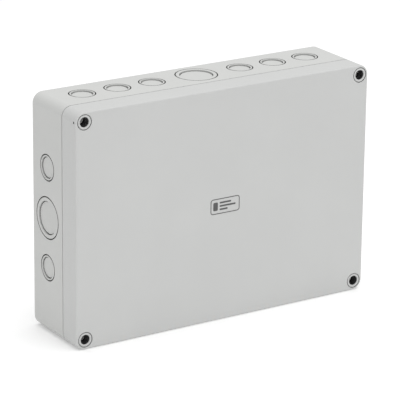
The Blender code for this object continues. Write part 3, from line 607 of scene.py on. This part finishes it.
def moulded_plastic(name, colour, roughness=0.58, grain_mm=0.35, grain=0.25, wear=0.1):
    """Matt injection-moulded plastic: spark-eroded grain, faint flow clouds, painted shade in recesses and
    paler edges.
    """
    made, tree, shader = node_material(name)
    vector = coordinates(tree)
    clouds = noise(tree, vector, 45, 3)
    shade_low = tuple(c * 0.985 for c in colour)
    shade_high = tuple(min(1.0, c * 1.012) for c in colour)
    body = ramp(tree, clouds, [(0.3, shade_low), (0.7, shade_high)])
    fleck = ramp(tree, noise(tree, vector, 0.9, 1), [(0.66, grey(0)), (0.80, grey(1))])
    darker = tuple(c * 0.90 for c in colour)
    flecked = mixed(tree, fleck, body, darker)
    soft_fleck = mixed(tree, 0.35, body, flecked)
    paler = tuple(min(1.0, c * 1.12) for c in colour)
    worn = ramp(tree, noise(tree, vector, 6, 4), [(0.42, grey(0)), (0.62, grey(wear))])
    mask = mixed(tree, 1.0, edge_mask(tree, 0.5), worn, "MULTIPLY")
    worn_body = mixed(tree, mask, soft_fleck, paler)
    # Painted shade: deep in grooves and holes the colour falls to a tenth of its own
    link(tree, mixed(tree, recess_shade_mask(tree), worn_body, tuple(c * 0.1 for c in colour)),
         shader.inputs["Base Color"])
    gloss = ramp(tree, noise(tree, vector, 12, 4),
                 [(0.3, grey(roughness - 0.05)), (0.7, grey(roughness + 0.06))])
    link(tree, gloss, shader.inputs["Roughness"])
    shader.inputs["Specular IOR Level"].default_value = 0.3
    bump(tree, shader, (noise(tree, vector, 60, 2), 0.25, 0.15),
         (noise(tree, vector, grain_mm, 3, 0.6), 0.03, grain))
    return made


def metal(name, colour, roughness=0.32, stretch=(1, 1, 1), grain_mm=0.15):
    """Plated or brushed metal: drawn grain, dull patches and brighter edges."""
    tarnish, age = (0.3, 0.28, 0.25), 0.25
    made, tree, shader = node_material(name)
    vector = coordinates(tree, stretch)
    plain = coordinates(tree)
    patches = ramp(tree, noise(tree, plain, 3.5, 5, 0.6), [(0.45, grey(0)), (0.72, grey(age))])
    dark = tuple(c * t / 0.35 for c, t in zip(colour, tarnish))
    body = mixed(tree, patches, colour, tuple(min(1.0, c) for c in dark))
    bright = tuple(min(1.0, c * 1.25) for c in colour)
    link(tree, mixed(tree, edge_mask(tree, 0.2), body, bright), shader.inputs["Base Color"])
    shader.inputs["Metallic"].default_value = 1.0
    streaks = noise(tree, vector, grain_mm, 3, 0.6)
    link(tree, ramp(tree, streaks, [(0.3, grey(roughness - 0.08)), (0.75, grey(roughness + 0.12))]),
         shader.inputs["Roughness"])
    bump(tree, shader, (streaks, 0.01, 0.3), (noise(tree, plain, 2.5, 4), 0.02, 0.2))
    return made


def foam_rubber(name, colour):
    made, tree, shader = node_material(name)
    vector = coordinates(tree)
    cells = tree.nodes.new("ShaderNodeTexVoronoi")
    cells.inputs["Scale"].default_value = 1 / (0.45 * MM)
    link(tree, vector, cells.inputs["Vector"])
    body = ramp(tree, cells.outputs["Distance"], [(0.0, tuple(c * 0.6 for c in colour)), (0.6, colour)])
    link(tree, body, shader.inputs["Base Color"])
    shader.inputs["Roughness"].default_value = 0.85
    bump(tree, shader, (cells.outputs["Distance"], 0.12, 0.6), (noise(tree, vector, 8, 3), 0.1, 0.3))
    return made


def two_colour_plastic(name, first, second):
    """Green and yellow polyamide: the yellow is a broad band across the terminal's middle."""
    made, tree, shader = node_material(name)
    vector = coordinates(tree)
    split = tree.nodes.new("ShaderNodeSeparateXYZ")
    link(tree, vector, split.inputs["Vector"])
    offset = tree.nodes.new("ShaderNodeMath")
    offset.operation = "SUBTRACT"
    offset.inputs[1].default_value = MIDDLE_Z
    link(tree, split.outputs["Z"], offset.inputs[0])
    far = tree.nodes.new("ShaderNodeMath")
    far.operation = "ABSOLUTE"
    link(tree, offset.outputs["Value"], far.inputs[0])
    band = tree.nodes.new("ShaderNodeMath")
    band.operation = "LESS_THAN"
    band.inputs[1].default_value = 18.9 * MM
    link(tree, far.outputs["Value"], band.inputs[0])
    base = mixed(tree, band.outputs["Value"], first, second)
    clouds = ramp(tree, noise(tree, vector, 10, 3), [(0.3, grey(0.93)), (0.7, grey(1))])
    link(tree, mixed(tree, 1.0, base, clouds, "MULTIPLY"), shader.inputs["Base Color"])
    link(tree, ramp(tree, noise(tree, vector, 5, 3), [(0.3, grey(0.42)), (0.7, grey(0.54))]),
         shader.inputs["Roughness"])
    bump(tree, shader, (noise(tree, vector, 0.3, 2), 0.02, 0.3))
    return made


# ---------------------------------------------------------------- the CAD pieces that stay

def finish_cad(name, look, rim_mm=0.2):
    """A carried-over CAD piece: its own material, welded, with its sharp edges rounded."""
    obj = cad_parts[name]
    for slot in obj.material_slots:
        slot.material = look
    weld = obj.modifiers.new("weld", "WELD")
    weld.merge_threshold = 0.002 * MM
    bevel = obj.modifiers.new("bevel", "BEVEL")
    bevel.width = rim_mm * MM
    bevel.segments = 2
    bevel.limit_method = "ANGLE"
    bevel.angle_limit = math.radians(SMOOTH_ANGLE)
    bevel.harden_normals = False


def make_looks():
    return {
        "housing": moulded_plastic("housing_plastic", (0.592, 0.597, 0.585)),
        # The lid's grey is a touch darker than the housing's: painted shade that dims its front face
        "lid": moulded_plastic("lid_plastic", (0.582, 0.587, 0.580)),
        "label": moulded_plastic("label_plastic", (0.10, 0.10, 0.10), 0.45),
        "foam": foam_rubber("gasket_foam", (0.055, 0.057, 0.06)),
        "nylon": moulded_plastic("retainer_nylon", (0.75, 0.74, 0.68), 0.42, 0.2, 0.15, 0.1),
        # Near-black sleeves in the screw wells: painted shade
        "shade_sleeve": moulded_plastic("well_shade_sleeve_look", (0.045, 0.045, 0.047), 0.36, 0.2, 0.15, 0.05),
        "screw": metal("screw_steel", (0.86, 0.86, 0.85), 0.58),
        "zinc": metal("zinc_steel", (0.60, 0.62, 0.63), 0.33, (0.05, 1, 1), 0.2),
        "clamp": metal("nickel_steel", (0.62, 0.61, 0.57), 0.3),
        "brass": metal("contact_brass", (0.70, 0.55, 0.27), 0.3, (1, 1, 0.05)),
        "terminal": moulded_plastic("terminal_polyamide", (0.40, 0.385, 0.335), 0.48, 0.2, 0.15),
        "neutral": moulded_plastic("neutral_polyamide", (0.02, 0.11, 0.42), 0.48, 0.2, 0.15),
        "earth": two_colour_plastic("earth_polyamide", (0.03, 0.20, 0.05), (0.72, 0.55, 0.03)),
        "bracket": moulded_plastic("bracket_polyamide", (0.055, 0.056, 0.06), 0.5, 0.2, 0.2),
        "marker": moulded_plastic("marker_plastic", (0.78, 0.78, 0.74), 0.45, 0.2, 0.1),
    }


def dress_cad(looks):
    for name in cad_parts:
        if name in ("base_housing", "lid") or name.startswith("lid_screw"):
            continue
        if name == "lid_gasket":
            finish_cad(name, looks["foam"], 0.25)
        elif name.startswith("screw_retainer"):
            finish_cad(name, looks["nylon"], 0.1)
        elif name.startswith(("din_rail", "rail_screw", "end_bracket_screw", "earth_rail")):
            finish_cad(name, looks["zinc"], 0.15)
        elif name.startswith("end_bracket"):
            finish_cad(name, looks["bracket"])
        elif name.endswith("marker"):
            finish_cad(name, looks["marker"], 0.15)
        elif name.endswith("current_bar"):
            finish_cad(name, looks["brass"], 0.12)
        elif "clamp" in name:
            finish_cad(name, looks["clamp"], 0.12)
        else:
            kind = name.split("_")[0]
            finish_cad(name, looks[kind if kind in ("neutral", "earth") else "terminal"], 0.25)


# ---------------------------------------------------------------- stage

def area_light(name, location, size, power):
    """A soft square light that faces the middle of the box."""
    data = bpy.data.lights.new(name, "AREA")
    data.shape = "RECTANGLE"
    data.size = data.size_y = size
    data.energy = power
    obj = bpy.data.objects.new(name, data)
    obj.location = location
    facing = Vector((0, 0, MIDDLE_Z)) - Vector(location)
    obj.rotation_euler = facing.to_track_quat("-Z", "Y").to_euler()
    bpy.context.scene.collection.objects.link(obj)


def make_stage():
    work = bmesh.new()
    bmesh.ops.create_grid(work, x_segments=2, y_segments=2, size=6)
    floor = bpy.data.objects.new("floor", new_mesh("floor", work))
    floor.location.z = base_low.z - 0.2 * MM
    bpy.context.scene.collection.objects.link(floor)
    made, tree, shader = node_material("floor_paper")
    shader.inputs["Base Color"].default_value = (0.96, 0.96, 0.96, 1)
    shader.inputs["Emission Color"].default_value = (1, 1, 1, 1)
    shader.inputs["Emission Strength"].default_value = 0.14
    shader.inputs["Roughness"].default_value = 0.9
    shader.inputs["Specular IOR Level"].default_value = 0.0
    floor.data.materials.append(made)

    world = bpy.data.worlds.new("studio")
    bpy.context.scene.world = world
    world.use_nodes = True
    background = world.node_tree.nodes["Background"]
    background.inputs["Color"].default_value = (1, 1, 1, 1)
    background.inputs["Strength"].default_value = 0.56
    area_light("top_light", (0.1, -0.1, 1.7), 1.8, 19)
    area_light("front_light", (0.7, -1.9, 1.0), 1.4, 4.3)
    area_light("left_light", (-1.9, -0.7, 0.6), 1.2, 1.5)
    bpy.context.scene.view_settings.view_transform = "Standard"


def make_camera():
    """The view from the lid's left and above, through a long lens."""
    turn, tilt, roll = math.radians(32.7), math.radians(18.8), math.radians(0.65)
    distance = 1908.9 * MM
    target = Vector((-22.1 * MM, lid_low.y, MIDDLE_Z + 7.8 * MM))
    forward = Vector((math.sin(turn) * math.cos(tilt), math.cos(turn) * math.cos(tilt), -math.sin(tilt)))
    side = Vector((math.cos(turn), -math.sin(turn), 0))
    up = side.cross(forward)
    rolled_side = side * math.cos(roll) + up * math.sin(roll)
    rolled_up = up * math.cos(roll) - side * math.sin(roll)
    rotation = Matrix((rolled_side, rolled_up, -forward)).transposed().to_4x4()
    data = bpy.data.cameras.new("camera")
    data.sensor_width = 36
    data.lens = 234.2
    data.clip_start, data.clip_end = 0.05, 20
    camera = bpy.data.objects.new("camera", data)
    camera.matrix_world = Matrix.Translation(target - forward * distance) @ rotation
    bpy.context.scene.collection.objects.link(camera)
    bpy.context.scene.camera = camera


# ---------------------------------------------------------------- everything

looks = make_looks()
add_piece("base_shell", base_mesh(), looks["housing"], "base", "base_housing")
add_piece("lid_shell", lid_mesh(), looks["lid"], "lid", "lid")
add_piece("lid_label", label_mesh(), looks["label"], "lid")
screw, shade_sleeve = lid_screw_mesh(), well_shade_sleeve_mesh()
for corner, (x, y) in corner_places(SCREW_INSET, SCREW_INSET).items():
    place = Matrix.Translation((x, y, 0))
    add_piece(f"fine_screw_{corner}", to_row(placed("fine_screw", [(screw, place)])), looks["screw"],
              f"screw_{corner}", f"lid_screw_{corner}")
    # A near-black sleeve in each well: painted shade that darkens it
    add_piece(f"well_shade_sleeve_{corner}", to_row(placed("well_shade_sleeve", [(shade_sleeve, place)])), looks["shade_sleeve"],
              "lid")
dress_cad(looks)
make_stage()
make_camera()
